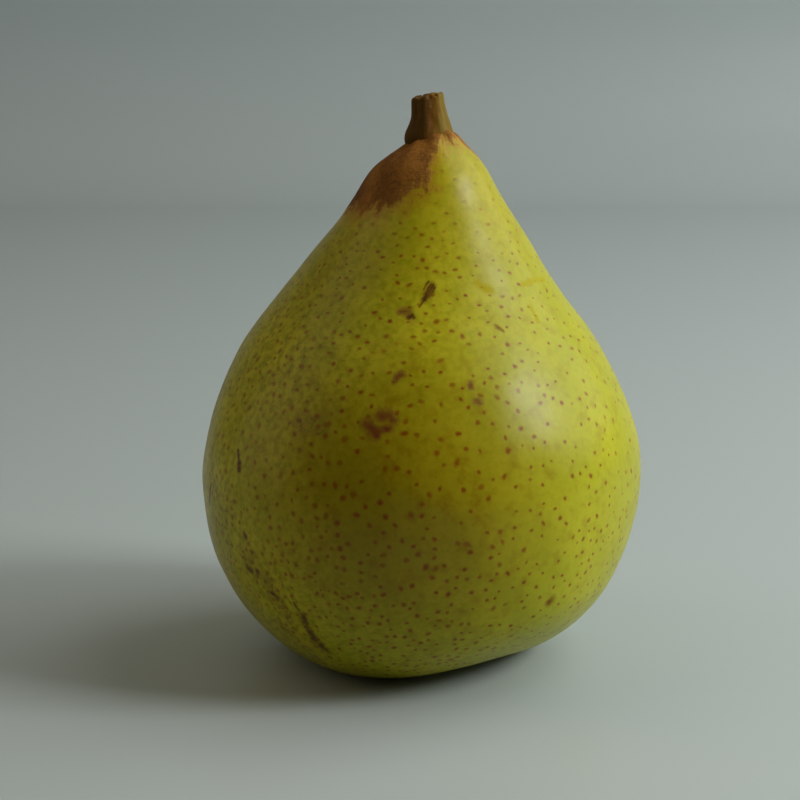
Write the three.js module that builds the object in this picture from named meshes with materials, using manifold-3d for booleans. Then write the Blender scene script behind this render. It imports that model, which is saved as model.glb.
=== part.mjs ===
// A ripe pear standing on its base: the fruit, its stout woody stalk and the dried calyx in the basin below.
// Millimetres, +Z up. The origin is on the surface that the pear stands on, under the middle of the fruit.
import * as THREE from "three";
import { ParametricGeometry } from "three/addons/geometries/ParametricGeometry.js";
import { mergeVertices } from "three/addons/utils/BufferGeometryUtils.js";
import Module from "manifold-3d";

const wasm = await Module();
wasm.setup();
const radians = THREE.MathUtils.degToRad;
const smoothstep = THREE.MathUtils.smoothstep;

// ---- Driving dimensions -------------------------------------------------------------------------------------

// The fruit's outline from the floor of the calyx basin, round the rim it stands on, up to the summit.
// Each row is a level section: its radius, its height, and how far its centre lies towards the neck's lean.
const FRUIT_OUTLINE = [
  [0, 8.2, 0],
  [4.6, 7.5, 0],
  [9.2, 4.3, 0],
  [13.0, 0.8, -0.2],
  [16.5, -0.35, -0.3],
  [24.6, 2.4, -0.6],
  [31.7, 9.0, -0.6],
  [37.0, 19.0, -0.3],
  [39.2, 32.0, 0],
  [37.6, 43.0, 0.1],
  [32.4, 55.0, -0.2],
  [24.9, 65.5, -0.2],
  [18.7, 74.0, 0.6],
  [13.2, 82.0, 1.3],
  [9.4, 88.0, 1.7],
  [5.6, 91.4, 2.5],
  [2.4, 93.4, 3.2],
  [0, 93.9, 3.9],
];
const FRUIT_AROUND = 64; // points round each section
const FRUIT_STEPS = 3; // sections from one row of the outline to the next
const NECK_LEAN = radians(-27); // azimuth towards which the neck bends

// Five soft ribs run up from the rim and fade out below the widest part.
const RIBS = { count: 5, rise: 0.45, azimuth: radians(20), from: 6, to: 42 };

// The rim is lifted off the surface on one side, so the fruit bears on the rest of it.
const LIFT = { rise: 2.6, azimuth: radians(-52), spread: radians(34), from: 3, to: 17 };
const AXIS_CALM = 12; // radius within which ribs, swellings and lift die away towards the axis

// Low swellings and dents of the flesh.
const SWELLINGS = [
  { azimuth: radians(-150), height: 60, rise: -0.35, width: 12 },
  { azimuth: radians(-118), height: 24, rise: 0.35, width: 14 },
  { azimuth: radians(-88), height: 47, rise: 0.4, width: 13 },
  { azimuth: radians(-62), height: 68, rise: -0.3, width: 9 },
  { azimuth: radians(35), height: 52, rise: 0.5, width: 15 },
  { azimuth: radians(80), height: 22, rise: 0.4, width: 16 },
  { azimuth: radians(118), height: 66, rise: -0.5, width: 12 },
  { azimuth: radians(150), height: 38, rise: 0.35, width: 14 },
  { azimuth: radians(-172), height: 86, rise: 0.45, width: 5 },
];

// The stalk's outline, radius and height above its foot, from the tip of its root to the broken end.
const STALK_OUTLINE = [
  [0, -4.2],
  [1.6, -4.0],
  [2.6, -3.2],
  [3.0, -2.1],
  [3.3, -1.2],
  [3.7, -0.6],
  [4.0, 0.2],
  [3.9, 1.0],
  [3.65, 2.0],
  [3.3, 3.6],
  [3.0, 5.4],
  [2.8, 6.8],
  [2.7, 7.6],
  [2.2, 7.95],
  [1.1, 7.75],
  [0, 7.6],
];
const STALK_AROUND = 35;
const STALK_STEPS = 2;
const STALK_FOOT = new THREE.Vector3(1.3, 0, 92.3); // where the stalk's axis leaves the flesh
const STALK_LEAN = -0.5; // how far the broken end lies towards -X of the foot
const STALK_TILT = 0.17; // its sections rise towards +X by this slope
const FLUTES = { count: 7, depth: 0.12 };
// A fleshy knuckle swells out of the foot and overhangs the shoulder, with a waist above it.
const KNUCKLE = { azimuth: radians(-165), spread: radians(70), rise: 0.6, height: 1.6, width: 1.6 };
const WAIST = { azimuth: radians(180), spread: radians(60), rise: -0.25, height: 5.0, width: 1.8 };

// The dried calyx: a cup that opens downwards, with five sepals and the withered stamens inside.
const CUP_OUTLINE = [
  [0, 7.6],
  [1.7, 7.4],
  [2.1, 6.5],
  [2.7, 6.1],
  [3.2, 6.9],
  [3.1, 8.2],
  [2.4, 9.0],
  [0, 9.0],
];
const CUP_AROUND = 30;
const SOCKET = { radius: 3.5, top: 9.3 }; // the seat of the cup in the flesh
const SEPAL = { count: 5, length: 6.4, width: 3.3, thickness: 0.7, azimuth: radians(25) };
const SEPAL_ROOT = { radius: 2.3, height: 6.9 };
const SEPAL_SLOPE = { root: radians(-14), tip: radians(-62) }; // of the midrib, from level
const SEPAL_FOLD = 0.55; // how deep the blade is folded along its midrib
const SEPAL_TAPER = 0.72; // share of the width lost at the tip
const STAMEN = { count: 9, length: 2.4, root: 0.36, tip: 0.22, ring: 1.15, lean: radians(20) };
const STAMEN_SUNK = 0.3; // how far a stamen's root is sunk in the cup

const CLEARANCE = 0.3; // gap round the stalk in the flesh

// ---- Tools --------------------------------------------------------------------------------------------------

// A bell-shaped weight: 1 at the centre, fading over a width.
const bell = (distance, width) => Math.exp(-((distance / width) ** 2));

// The angle from b to a, between -PI and PI.
const turn = (a, b) => Math.atan2(Math.sin(a - b), Math.cos(a - b));

// A swelling's push at a place given by its azimuth, height and the arc length of one radian there.
function push({ azimuth, height, rise, width, spread }, angle, level, radius) {
  const aside = spread ? bell(turn(angle, azimuth), spread) : bell(radius * turn(angle, azimuth), width);
  return rise * aside * bell(level - height, width);
}

// A closed skin over an outline: shape turns an angle and a point of the outline into a point of the skin.
function skinOver(outline, around, steps, shape) {
  const corners = outline.map(([radius, height, shift = 0]) => new THREE.Vector3(radius, shift, height));
  const curve = new THREE.CatmullRomCurve3(corners, false, "catmullrom");
  const rings = (corners.length - 1) * steps;
  const pointAt = (u, v, target) => {
    const section = curve.getPoint(v);
    shape(target, 2 * Math.PI * (u % 1), section.x, section.z, section.y);
  };
  return new ParametricGeometry(pointAt, around, rings);
}

function toSolid(geometry) {
  const bare = geometry.clone();
  bare.deleteAttribute("normal");
  bare.deleteAttribute("uv");
  const merged = mergeVertices(bare);
  const vertProperties = merged.attributes.position.array;
  const triVerts = new Uint32Array(merged.index.array);
  return new wasm.Manifold(new wasm.Mesh({ numProp: 3, vertProperties, triVerts }));
}

function toGeometry(solid) {
  const { vertProperties, triVerts } = solid.getMesh();
  const geometry = new THREE.BufferGeometry();
  geometry.setAttribute("position", new THREE.BufferAttribute(vertProperties, 3));
  geometry.setIndex(new THREE.BufferAttribute(triVerts, 1));
  geometry.computeVertexNormals();
  return geometry;
}

// ---- Fruit --------------------------------------------------------------------------------------------------

// A point of the fruit's skin: the level section with its ribs and swellings, then the lifted rim, then the
// flat that it stands on.
function fruitSkin(target, angle, radius, height, shift) {
  const away = smoothstep(radius, 0, AXIS_CALM);
  const ribs = RIBS.rise * (1 - smoothstep(height, RIBS.from, RIBS.to));
  let relief = ribs * Math.cos(RIBS.count * (angle - RIBS.azimuth));
  for (const swelling of SWELLINGS) {
    relief += push(swelling, angle, height, radius);
  }
  const reach = radius + away * relief;
  const lift = away * LIFT.rise * (1 - smoothstep(height, LIFT.from, LIFT.to));
  const raised = height + lift * bell(turn(angle, LIFT.azimuth), LIFT.spread);
  target.set(reach * Math.cos(angle), reach * Math.sin(angle), Math.max(raised, 0));
  target.x += shift * Math.cos(NECK_LEAN);
  target.y += shift * Math.sin(NECK_LEAN);
}

// ---- Stalk --------------------------------------------------------------------------------------------------

// A point of the stalk's bark, moved outwards by grow, which gives the shape of its socket.
function stalkBark(target, angle, radius, height, grow) {
  const away = smoothstep(radius, 0, 2); // 0 at both ends of the axis
  const flutes = FLUTES.depth * Math.cos(FLUTES.count * angle);
  const lumps = push(KNUCKLE, angle, height) + push(WAIST, angle, height);
  const reach = radius + away * (flutes + lumps + grow);
  const up = smoothstep(height, 0, STALK_OUTLINE.at(-1)[1]);
  const deeper = (1 - smoothstep(height, STALK_OUTLINE[0][1], 0)) * grow;
  target.set(reach * Math.cos(angle), reach * Math.sin(angle), height - deeper);
  target.z += STALK_TILT * target.x;
  target.x += STALK_LEAN * up;
  target.add(STALK_FOOT);
}

function stalk(grow) {
  const shape = (target, angle, radius, height) => stalkBark(target, angle, radius, height, grow);
  return skinOver(STALK_OUTLINE, STALK_AROUND, STALK_STEPS, shape);
}

// ---- Calyx --------------------------------------------------------------------------------------------------

function cup() {
  const outline = CUP_OUTLINE.map(([radius, height]) => new THREE.Vector2(radius, height));
  return new THREE.LatheGeometry(outline, CUP_AROUND).rotateX(Math.PI / 2);
}

function socket() {
  const depth = SOCKET.top;
  const plug = new THREE.CylinderGeometry(SOCKET.radius, SOCKET.radius, depth, CUP_AROUND);
  return plug.rotateX(Math.PI / 2).translate(0, 0, SOCKET.top - depth / 2);
}

// A sepal is a flattened ball drawn out to a point, folded along its midrib and bent on an arc.
function sepal() {
  const blade = new THREE.SphereGeometry(1, 12, 10);
  const place = blade.attributes.position;
  const half = SEPAL.width / 2;
  const bend = SEPAL_SLOPE.tip - SEPAL_SLOPE.root;
  const arc = SEPAL.length / bend;
  for (let i = 0; i < place.count; i++) {
    const along = (1 - place.getY(i)) / 2;
    const across = place.getX(i) * half * (1 - SEPAL_TAPER * smoothstep(along, 0.35, 1));
    const fold = SEPAL_FOLD * (Math.abs(across) / half) ** 1.5 * Math.sin(Math.PI * along);
    const off = (place.getZ(i) * SEPAL.thickness) / 2 - fold;
    const slope = SEPAL_SLOPE.root + bend * along;
    const out = SEPAL_ROOT.radius + arc * (Math.sin(slope) - Math.sin(SEPAL_SLOPE.root)) - off * Math.sin(slope);
    const up = SEPAL_ROOT.height - arc * (Math.cos(slope) - Math.cos(SEPAL_SLOPE.root)) + off * Math.cos(slope);
    place.setXYZ(i, out, across, up);
  }
  return blade;
}

function stamen() {
  const filament = new THREE.CylinderGeometry(STAMEN.root, STAMEN.tip, STAMEN.length, 6);
  filament.rotateX(Math.PI / 2);
  filament.rotateY(-STAMEN.lean);
  return filament.translate(STAMEN.ring, 0, CUP_OUTLINE[0][1] + STAMEN_SUNK - STAMEN.length / 2);
}

function calyx() {
  let solid = toSolid(cup());
  for (let i = 0; i < SEPAL.count; i++) {
    const blade = sepal().rotateZ(SEPAL.azimuth + (i / SEPAL.count) * 2 * Math.PI);
    solid = solid.add(toSolid(blade));
  }
  for (let i = 0; i < STAMEN.count; i++) {
    const filament = stamen().rotateZ((i / STAMEN.count) * 2 * Math.PI);
    solid = solid.add(toSolid(filament));
  }
  return toGeometry(solid);
}

// ---- The pear -----------------------------------------------------------------------------------------------

function fruit() {
  const flesh = toSolid(skinOver(FRUIT_OUTLINE, FRUIT_AROUND, FRUIT_STEPS, fruitSkin));
  return toGeometry(flesh.subtract(toSolid(stalk(CLEARANCE))).subtract(toSolid(socket())));
}

const skin = new THREE.MeshStandardMaterial({ color: 0xa9a52e, roughness: 0.42, metalness: 0 });
const bark = new THREE.MeshStandardMaterial({ color: 0x5c4420, roughness: 0.75, metalness: 0 });
const husk = new THREE.MeshStandardMaterial({ color: 0x40301c, roughness: 0.9, metalness: 0 });

function mesh(name, geometry, material) {
  const made = new THREE.Mesh(geometry, material);
  made.name = name;
  return made;
}

const pear = new THREE.Group();
pear.add(mesh("fruit", fruit(), skin));
pear.add(mesh("stalk", stalk(0), bark));
pear.add(mesh("calyx", calyx(), husk));
const middle = new THREE.Box3().setFromObject(pear).getCenter(new THREE.Vector3());
pear.position.set(-middle.x, -middle.y, 0);

export default pear;
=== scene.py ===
# %% [markdown]
# # A ripe pear, standing on its base
#
# The pear has three pieces: the fruit, its stout stalk and the dried calyx underneath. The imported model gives
# their places and sizes. Here each of them gets a finer surface and the finish that the real one has.
# Shapes are worked out in millimetres and put into the meshes in metres.

import bpy
import numpy as np
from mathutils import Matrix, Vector


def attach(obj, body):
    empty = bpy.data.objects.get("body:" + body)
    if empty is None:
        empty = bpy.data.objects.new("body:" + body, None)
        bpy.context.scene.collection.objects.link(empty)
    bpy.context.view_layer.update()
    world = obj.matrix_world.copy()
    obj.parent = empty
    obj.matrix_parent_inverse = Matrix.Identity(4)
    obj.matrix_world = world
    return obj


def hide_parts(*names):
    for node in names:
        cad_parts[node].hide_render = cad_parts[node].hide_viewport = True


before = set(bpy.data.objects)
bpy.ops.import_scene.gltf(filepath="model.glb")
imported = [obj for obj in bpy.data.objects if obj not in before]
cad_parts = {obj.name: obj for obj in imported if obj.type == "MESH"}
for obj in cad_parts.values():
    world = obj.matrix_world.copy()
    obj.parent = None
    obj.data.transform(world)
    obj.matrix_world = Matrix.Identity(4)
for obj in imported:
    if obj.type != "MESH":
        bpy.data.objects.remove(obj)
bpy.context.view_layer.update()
MM = 0.001

# %% [markdown]
# ## The fruit's form
#
# A pear is round, so its skin can be a profile turned about an axis. It could be modelled by hand and
# smoothed with a subdivision surface. A formula is used instead, because then a rib or a dent is one named
# number. The outline is a smooth curve through a few corners, from the calyx basin round the rim that the
# pear stands on, and up to the summit.


# %% Curves through corners
def spline(corners, steps=40):
    """A Catmull-Rom curve through rows of numbers, the ends carried on by reflection.

    Between rows b and c, with a before and d after, a share t of the way gives
    b + t(c - a)/2 + t^2(2a - 5b + 4c - d)/2 + t^3(3b - a - 3c + d)/2.
    """
    rows = np.array(corners, float)
    rows = np.vstack([2 * rows[0] - rows[1], rows, 2 * rows[-1] - rows[-2]])
    gaps = len(corners) - 1
    place = np.linspace(0, gaps, gaps * steps + 1)
    first = np.minimum(place.astype(int), gaps - 1)
    t = (place - first)[:, None]
    a, b, c, d = (rows[first + k] for k in range(4))
    bend = 2 * a - 5 * b + 4 * c - d
    return b + t * (c - a) / 2 + t**2 * bend / 2 + t**3 * (3 * b - a - 3 * c + d) / 2


def run_along(rows):
    """The arc length up to each row, from its radius and height: the running sum of the steps between."""
    return np.concatenate([[0], np.cumsum(np.linalg.norm(np.diff(rows[:, :2], axis=0), axis=1))])


def evenly(rows, count):
    """The same curve in even steps: each column is read off again at even arc lengths."""
    run = run_along(rows)
    at = np.linspace(0, run[-1], count)
    return np.stack([np.interp(at, run, column) for column in rows.T], axis=1)


def smooth(value, low, high):
    """0 below low, 1 above high, and 3t^2 - 2t^3 between, with t the share of the way."""
    share = np.clip((value - low) / (high - low), 0, 1)
    return share * share * (3 - 2 * share)


def bell(distance, width):
    """exp(-(distance / width)^2): 1 at the centre, fading over a width."""
    return np.exp(-((distance / width) ** 2))


def turn(a, b):
    """The angle from b to a, between -pi and pi."""
    return np.arctan2(np.sin(a - b), np.cos(a - b))


# %% Driving dimensions of the fruit
FRUIT_OUTLINE = [  # radius, height, shift towards the neck's lean
    (0, 8.2, 0),
    (4.6, 7.5, 0),
    (9.2, 4.3, 0),
    (13.0, 0.8, -0.2),
    (16.5, -0.35, -0.3),
    (24.6, 2.4, -0.6),
    (31.7, 9.0, -0.6),
    (37.0, 19.0, -0.3),
    (39.2, 32.0, 0),
    (37.6, 43.0, 0.1),
    (32.4, 55.0, -0.2),
    (24.9, 65.5, -0.2),
    (18.7, 74.0, 0.6),
    (13.2, 82.0, 1.3),
    (9.4, 88.0, 1.7),
    (5.6, 91.4, 2.5),
    (2.4, 93.4, 3.2),
    (0, 93.9, 3.9),
]
FRUIT_ROWS, FRUIT_AROUND = 216, 450
NECK_LEAN = np.radians(-27)
RIBS = {"count": 5, "rise": 0.45, "azimuth": np.radians(20), "from": 6, "to": 42}
LIFT = {"rise": 2.6, "azimuth": np.radians(-52), "spread": np.radians(34), "from": 3, "to": 17}
AXIS_CALM = 12
SWELLINGS = [  # azimuth in degrees, height, rise, width
    (-150, 60, -0.35, 12),
    (-118, 24, 0.35, 14),
    (-88, 47, 0.4, 13),
    (-62, 68, -0.3, 9),
    (35, 52, 0.5, 15),
    (80, 22, 0.4, 16),
    (118, 66, -0.5, 12),
    (150, 38, 0.35, 14),
    (-172, 86, 0.45, 5),
]

# %% [markdown]
# The outline is carried round as level sections. Each has its own radius, height and sideways shift, so the
# neck can bend. Five low ribs run up from the calyx, as they do on the real fruit, because it grows from five
# chambers. A few swellings make it uneven, and near the front right the rim lifts off the table.


# %% The fruit's skin
def fruit_skin(rows, angle):
    """The skin's grid. The reach of a section is its radius, plus ribs that go as cos(5 x angle), plus a bell
    for each swelling. Near the front right the rim is raised, and what would be below 0 is flat."""
    radius, height, shift = (column[:, None] for column in rows.T)
    away = smooth(radius, 0, AXIS_CALM)
    relief = RIBS["rise"] * (1 - smooth(height, RIBS["from"], RIBS["to"]))
    relief = relief * np.cos(RIBS["count"] * (angle - RIBS["azimuth"]))
    for azimuth, level, rise, width in SWELLINGS:
        aside = radius * turn(angle, np.radians(azimuth))
        relief = relief + rise * bell(aside, width) * bell(height - level, width)
    reach = radius + away * relief
    lift = away * LIFT["rise"] * (1 - smooth(height, LIFT["from"], LIFT["to"]))
    raised = height + lift * bell(turn(angle, LIFT["azimuth"]), LIFT["spread"])
    x = reach * np.cos(angle) + shift * np.cos(NECK_LEAN)
    y = reach * np.sin(angle) + shift * np.sin(NECK_LEAN)
    return np.stack([x, y, np.maximum(raised, 0)], axis=-1)


fruit_rows = evenly(spline(FRUIT_OUTLINE), FRUIT_ROWS)
fruit_angle = np.linspace(0, 2 * np.pi, FRUIT_AROUND, endpoint=False)[None, :]
plain = fruit_skin(fruit_rows, fruit_angle)
low = plain.min(axis=(0, 1))
high = plain.max(axis=(0, 1))
MIDDLE = np.array([(low[0] + high[0]) / 2, (low[1] + high[1]) / 2, 0])  # goes to the origin
plain = plain - MIDDLE
print("fruit measures", (high - low).round(2), "mm, rows", run_along(fruit_rows)[1].round(2), "mm apart")

# %% [markdown]
# The finer relief is small: a tenth of a millimetre of unevenness, which breaks up the reflection of a
# window, and low folds of flesh where the stalk pulls on the skin. On the right the flesh climbs the stalk
# a little, as a collar. Underneath, shallow furrows run into the basin round the calyx. A sculpting brush
# could add all this by hand. Here it is a sum of waves and bells along the normals, kept off the flat that
# the pear rests on.


# %% Relief along the normals
def waves(place, length, seed, count=28):
    """Soft random unevenness, mostly within -1 and 1: the scaled sum of cos(k.p + f) over waves that run in
    random directions, k long, with k between 0.6 and 1.4 times 2 pi / length."""
    dice = np.random.default_rng(seed)
    heading = dice.normal(size=(count, 3))
    heading /= np.linalg.norm(heading, axis=1)[:, None]
    wave = heading * (2 * np.pi / length * dice.uniform(0.6, 1.4, count))[:, None]
    phase = dice.uniform(0, 2 * np.pi, count)
    return np.cos(place @ wave.T + phase).sum(axis=-1) / np.sqrt(2 * count)


def normals(grid):
    """Unit normals of a skin's grid: the cross product of its steps round and along, made unit length."""
    round_it = np.roll(grid, -1, axis=1) - np.roll(grid, 1, axis=1)
    along = np.gradient(grid, axis=0)
    cross = np.cross(round_it, along)
    cross[0] = cross[1].mean(axis=0)
    cross[-1] = cross[-2].mean(axis=0)
    return cross / np.maximum(np.linalg.norm(cross, axis=-1, keepdims=True), 1e-12)


# %% The uneven flesh, the folds and the collar round the stalk, and the furrows round the calyx
UNEVEN = [(17.0, 0.11, 3), (7.5, 0.05, 4)]  # wavelength, height and seed of each layer
INSET = 0.1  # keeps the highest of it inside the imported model's box
FOLDS = {"count": 9, "rise": 0.14, "fade": 4.5}
COLLAR = {"rise": 0.5, "fade": 1.5, "azimuth": np.radians(-15), "spread": np.radians(75)}
STALK_FOOT = np.array([1.3, 0, 92.3])
STALK_REACH = 4.0
NECK_TOP = (80, 90)  # folds and collar come in between these heights
FOOT_CALM = (0.5, 5)  # and the unevenness between these
BASIN_TOP = 9
FURROWS = {"count": 10, "rise": 0.22, "radius": 6.5, "width": 4.0, "from": 3.5, "to": 5.5}
WANDER = {"turn": 0.25, "length": 12.0, "seed": 6}  # how far a furrow strays, in radians

from_foot = plain - (STALK_FOOT - MIDDLE)
gap = np.maximum(np.hypot(from_foot[..., 0], from_foot[..., 1]) - STALK_REACH, 0)
round_foot = np.arctan2(from_foot[..., 1], from_foot[..., 0])
near_top = smooth(plain[..., 2], *NECK_TOP)
relief = sum(rise * waves(plain, length, seed) for length, rise, seed in UNEVEN)
relief = (relief - INSET) * smooth(plain[..., 2], *FOOT_CALM)
relief = relief + FOLDS["rise"] * np.cos(FOLDS["count"] * round_foot) * bell(gap, FOLDS["fade"]) * near_top
collar_side = bell(turn(round_foot, COLLAR["azimuth"]), COLLAR["spread"])
relief = relief + COLLAR["rise"] * bell(gap, COLLAR["fade"]) * collar_side * near_top
from_axis = np.hypot(plain[..., 0], plain[..., 1])
in_basin = bell(from_axis - FURROWS["radius"], FURROWS["width"]) * (plain[..., 2] < BASIN_TOP)
in_basin = in_basin * smooth(from_axis, FURROWS["from"], FURROWS["to"])
furrow_turn = fruit_angle + WANDER["turn"] * waves(plain, WANDER["length"], WANDER["seed"])
relief = relief + FURROWS["rise"] * np.cos(FURROWS["count"] * furrow_turn) * in_basin
shaped = plain + relief[..., None] * normals(plain)
shaped[..., 2] = np.maximum(shaped[..., 2], 0)
print("relief runs from", relief.min().round(2), "to", relief.max().round(2), "mm")

# %% [markdown]
# ## What has marked the skin
#
# A pear's skin keeps a record of its life among leaves and twigs: rubs turn to cork, and a few places are
# stained. They could be painted on an image, but an image blurs when seen close. Instead every point of the
# skin keeps its distance to the nearest mark. That changes evenly from point to point, so the material can
# draw a ragged edge through it at any size.


# %% The nearest mark
def nearest(place, marks):
    """The distance from each place to the nearest mark, in half-widths: 0 on its line and 1 at its edge.

    A mark is a line from a to b. Its nearest point is a + t(b - a), with t = (p - a).(b - a)/|b - a|^2 kept
    between 0 and 1.
    """
    shares = []
    for a, b, half in marks:
        start = np.array(a, float)
        along = np.array(b, float) - start
        t = np.clip((place - start) @ along / max(along @ along, 1e-9), 0, 1)
        shares.append(np.linalg.norm(place - start - t[..., None] * along, axis=-1) / half)
    return np.min(shares, axis=0)


# %% Rubs, as lines with a half-width, in millimetres
RUBS = [
    ((-9.4, -34.0, 50.1), (-8.5, -34.5, 49.1), 1.15),
    ((-8.5, -34.5, 49.1), (-7.8, -34.9, 48.5), 1.25),
    ((-6.9, -34.0, 51.2), (-5.6, -34.2, 51.3), 1.25),
    ((-5.6, -34.2, 51.3), (-4.9, -34.6, 50.6), 0.9),
    ((-7.8, -34.9, 48.5), (-6.3, -34.9, 49.3), 0.9),
    ((-6.3, -34.9, 49.3), (-5.4, -35.1, 49.2), 0.8),
    ((-4.8, -31.3, 56.4), (-4.2, -31.0, 57.0), 0.55),
    ((-4.2, -30.9, 57.2), (-3.5, -30.8, 57.5), 0.8),
    ((7.8, -31.0, 55.8), (7.9, -31.3, 55.2), 0.6),
    ((8.7, -32.3, 53.3), (9.2, -32.2, 53.2), 0.7),
    ((12.2, -22.7, 63.8), (12.7, -22.7, 63.5), 0.5),
    ((12.7, -22.7, 63.5), (13.5, -22.8, 62.8), 0.3),
    ((21.3, -29.9, 18.1), (21.6, -29.6, 18.9), 0.85),
    ((-3.7, -23.8, 66.7), (-2.5, -24.1, 66.5), 0.85),
]

# %% Grazes, stained places and golden streaks, as lines with a half-width
GRAZES = [
    ((-21.5, -30.2, 18.1), (-20.2, -30.1, 16.1), 0.4),
    ((-20.2, -30.1, 16.1), (-19.2, -29.1, 13.5), 0.75),
    ((-19.2, -29.1, 13.5), (-17.9, -27.8, 10.8), 0.9),
    ((-17.9, -27.8, 10.8), (-16.3, -27.4, 9.2), 1.1),
    ((-16.3, -27.4, 9.2), (-15.5, -26.0, 7.2), 0.5),
    ((-29.7, -23.6, 22.3), (-29.0, -24.4, 21.8), 0.7),
    ((-27.9, -26.0, 22.2), (-27.8, -26.0, 22.0), 0.6),
    ((-25.4, -27.4, 19.0), (-24.4, -27.9, 18.3), 0.6),
    ((-30.3, -24.7, 28.6), (-29.8, -25.1, 27.7), 0.4),
]
STAINS = [
    ((-29.8, -24.4, 24.7), (-26.0, -27.2, 20.0), 3.0),
    ((-25.1, -27.6, 19.0), (-22.8, -27.4, 14.0), 2.8),
    ((-24.5, -24.5, 11.5), (-19.5, -25.0, 8.0), 3.2),
    ((-14.0, -33.0, 37.0), (-6.0, -35.0, 34.0), 2.0),
    ((-20.4, -28.8, 48.9), (-17.0, -31.0, 48.6), 2.0),
]
TANS = [
    ((9.2, -19.2, 70.4), (11.1, -19.0, 69.3), 1.0),
    ((18.2, -16.3, 65.9), (19.6, -17.2, 63.6), 0.5),
    ((17.1, -14.1, 69.4), (19.3, -10.8, 69.6), 0.6),
    ((19.3, -10.8, 69.6), (21.4, -6.7, 69.0), 0.6),
    ((-1.8, -25.0, 65.3), (-3.8, -27.2, 62.2), 0.6),
    ((-3.8, -27.2, 62.2), (-8.4, -27.9, 60.0), 0.6),
]

# %% [markdown]
# A pear breathes through pores, which show as small red-brown dots. They are strewn like darts thrown at the
# skin: a dart stays only if no earlier one is too near. That gives the even scatter that living skin has,
# without clumps. They sit close and small by the base, and far apart and faint up the neck.


# %% How close the pores sit
CROWD = {"neck": 0.05, "shoulder": 0.09, "belly": -0.04, "base": 0.11}  # added up, per square millimetre
SHOULDER, BELLY, BASE = (86, 76), (44, 13), (42, 8)  # heights: from and to, middle and width, from and to
CROWD_LEFT = {"share": 0.35, "from": 5, "to": -25}  # how many more there are on the left
CROWD_CHANGE = {"share": 0.25, "length": 30, "seed": 21}


def pores_wanted(place):
    """Pores per square millimetre: few on the neck, more below it, fewer again round the belly and most near
    the base, with slow random change from place to place and more on the left."""
    level = place[..., 2]
    crowd = CROWD["neck"] + CROWD["shoulder"] * smooth(level, *SHOULDER)
    crowd = crowd + CROWD["belly"] * bell(level - BELLY[0], BELLY[1]) + CROWD["base"] * smooth(level, *BASE)
    on_left = smooth(place[..., 0], CROWD_LEFT["from"], CROWD_LEFT["to"])
    crowd = crowd * (1 + CROWD_LEFT["share"] * on_left)
    return crowd * (1 + CROWD_CHANGE["share"] * waves(place, CROWD_CHANGE["length"], CROWD_CHANGE["seed"]))


def throw_darts(grid, count, seed):
    """Random places on a skin's grid, even by area. A row is drawn in proportion to its radius, and a share
    of the step to the next row and the next column is added to the corner that was drawn."""
    dice = np.random.default_rng(seed)
    reach = np.hypot(grid[:-1, :, 0], grid[:-1, :, 1]).mean(axis=1)
    row = dice.choice(len(reach), size=count, p=reach / reach.sum())
    column = dice.integers(grid.shape[1], size=count)
    corner = grid[row, column]
    up = grid[row + 1, column] - corner
    across = grid[row, (column + 1) % grid.shape[1]] - corner
    return corner + up * dice.random((count, 1)) + across * dice.random((count, 1))


# %% Numbers of the darts and the pores, and how a pore changes with its place
DARTS = {"count": 14000, "seed": 31}
DARTS_FROM = 0.3  # none on the flat that the pear rests on
PORE_GAP = 0.6  # the least gap, as a share of what an even spacing would give
PORES_LEFT = 0.76  # the share that stays
PORE_SEED = 32
PORE_HALF = 0.5  # half-width, in millimetres
PORE_SIZES, PORE_TONES = (0.65, 1.15), (0.68, 1.0)  # least and most
SIZE_CHANGES = [(2, 45, 12, -0.2), (2, 50, 75, -0.15), (0, 5, 20, -0.2)]  # axis, from, to, share
TONE_CHANGES = [(2, 70, 86, -0.4), (0, -5, -22, -0.2)]
FRONT = {"place": (0, -38, 25), "share": 0.12, "width": 15}  # they are larger here
SLANT = 0.4  # the most that a pore is drawn out along its slant


def changed(values, changes, place):
    """The values, each times 1 + share x smooth(coordinate) for every change on the way along an axis."""
    for axis, start, end, share in changes:
        values = values * (1 + share * smooth(place[:, axis], start, end))
    return values


# %% Pores: darts that are near no earlier one, less a few at random, so that no even spacing shows
darts = throw_darts(shaped, DARTS["count"], DARTS["seed"])
darts = darts[darts[:, 2] > DARTS_FROM]
spacing = PORE_GAP / np.sqrt(pores_wanted(darts))
kept = [0]
for i in range(1, len(darts)):
    if np.linalg.norm(darts[kept] - darts[i], axis=1).min() > spacing[i]:
        kept.append(i)
dice = np.random.default_rng(PORE_SEED)
pores = darts[kept][dice.random(len(kept)) < PORES_LEFT]
from_front = np.linalg.norm(pores - FRONT["place"], axis=1)
pore_half = changed(PORE_HALF * dice.uniform(*PORE_SIZES, len(pores)), SIZE_CHANGES, pores)
pore_half = pore_half * (1 + FRONT["share"] * bell(from_front, FRONT["width"]))
pore_tone = changed(dice.uniform(*PORE_TONES, len(pores)), TONE_CHANGES, pores)
pore_slant = dice.normal(size=pores.shape)
pore_slant = pore_slant / np.linalg.norm(pore_slant, axis=1, keepdims=True)
pore_slant = pore_slant * np.sqrt(dice.uniform(0, SLANT, (len(pores), 1)))
print(len(pores), "pores, the widest", (2 * pore_half.max()).round(2), "mm")

# %% [markdown]
# Round the stalk the skin is russet: it has turned to dry brown cork, as it does on many pears. The cap's
# lower edge is drawn as a height for each direction. On the front right a tongue of clean skin runs up
# through it, almost to the stalk.

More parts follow.
